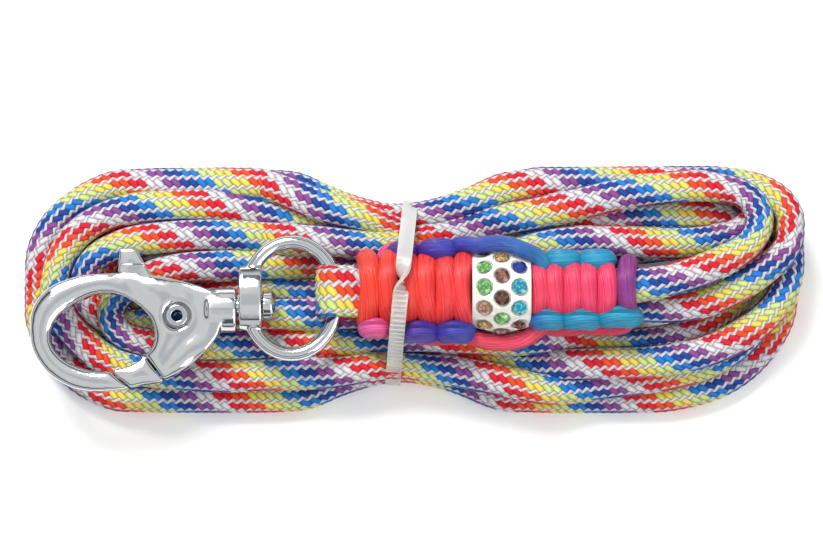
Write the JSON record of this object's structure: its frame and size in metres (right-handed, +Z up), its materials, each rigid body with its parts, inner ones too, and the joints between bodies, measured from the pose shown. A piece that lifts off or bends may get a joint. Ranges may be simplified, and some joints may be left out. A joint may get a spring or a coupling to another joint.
{
  "type": "lead rope",
  "caption": "Braided lead rope wound into a tied hank, with a knotted collar, a stone-set bead and a swivel scissor snap hook.",
  "frame": {"origin": "middle of the hank's resting face, on the surface it lies on", "axes": "+X along the hank from the snap hook's eye to the cord's open loops, +Y across the hank, +Z up from the surface it lies on"},
  "size_m": [0.2074, 0.0646, 0.0299],
  "materials": {
    "braided_cord": "hollow braid, white with rainbow strands",
    "coral_cord": "satin, orange to pink",
    "blue_cord": "satin, violet to turquoise",
    "chrome_plate": "polished plate on die-cast zinc",
    "spring_steel": "drawn wire",
    "white_clay": "matt polymer clay",
    "amber_stone": "faceted",
    "green_stone": "faceted",
    "brown_stone": "faceted",
    "natural_nylon": "translucent moulded nylon"
  },
  "bodies": {
    "hank": {"hank_coil": "braided_cord", "front_leg_cord": "braided_cord", "back_leg_cord": "braided_cord", "ring_bight_cord": "braided_cord", "left_knot_sleeve": "coral_cord", "right_knot_sleeve": "coral_cord", "upper_bypass_strand": "blue_cord", "lower_bypass_strand": "coral_cord", "bead": "white_clay", "cable_tie": "natural_nylon", "rhinestone_01": "amber_stone", "rhinestone_02": "green_stone", "rhinestone_03": "brown_stone", "rhinestone_04": "amber_stone", "rhinestone_05": "green_stone", "rhinestone_06": "brown_stone", "rhinestone_07": "amber_stone", "rhinestone_08": "green_stone", "rhinestone_09": "brown_stone", "rhinestone_10": "amber_stone", "rhinestone_11": "green_stone", "rhinestone_12": "brown_stone", "rhinestone_13": "amber_stone", "rhinestone_14": "green_stone", "rhinestone_15": "brown_stone", "rhinestone_16": "amber_stone", "rhinestone_17": "green_stone", "rhinestone_18": "brown_stone", "rhinestone_19": "amber_stone", "rhinestone_20": "green_stone", "rhinestone_21": "brown_stone", "rhinestone_22": "amber_stone", "rhinestone_23": "green_stone", "rhinestone_24": "brown_stone", "rhinestone_25": "amber_stone", "rhinestone_26": "green_stone", "rhinestone_27": "brown_stone", "rhinestone_28": "amber_stone", "rhinestone_29": "green_stone", "rhinestone_30": "brown_stone", "rhinestone_31": "amber_stone", "rhinestone_32": "green_stone", "rhinestone_33": "brown_stone"},
    "ring": {"ring_eye": "chrome_plate"},
    "hook": {"hook_body": "chrome_plate", "swivel_rivet": "chrome_plate", "gate_rivet": "chrome_plate", "gate_spring": "spring_steel"},
    "gate": {"gate": "chrome_plate"}
  },
  "joints": [
    {"name": "ring_swing", "type": "hinge", "parent": "hank", "child": "ring", "pos_m": [-0.0198, -0.0034, 0.0185], "axis": [0, 1, 0], "range_deg": [0, 100]},
    {"name": "hook_swivel", "type": "hinge", "parent": "ring", "child": "hook", "pos_m": [-0.0427, -0.0054, 0.0185], "axis": [1, 0, 0], "range_deg": [-7, 7]},
    {"name": "gate_pivot", "type": "hinge", "parent": "hook", "child": "gate", "pos_m": [-0.0618, -0.0083, 0.0185], "axis": [0, 0, -1], "range_deg": [0, 25], "stiffness_Nm_per_rad": 0.12, "springref_deg": -20.05}
  ]
}
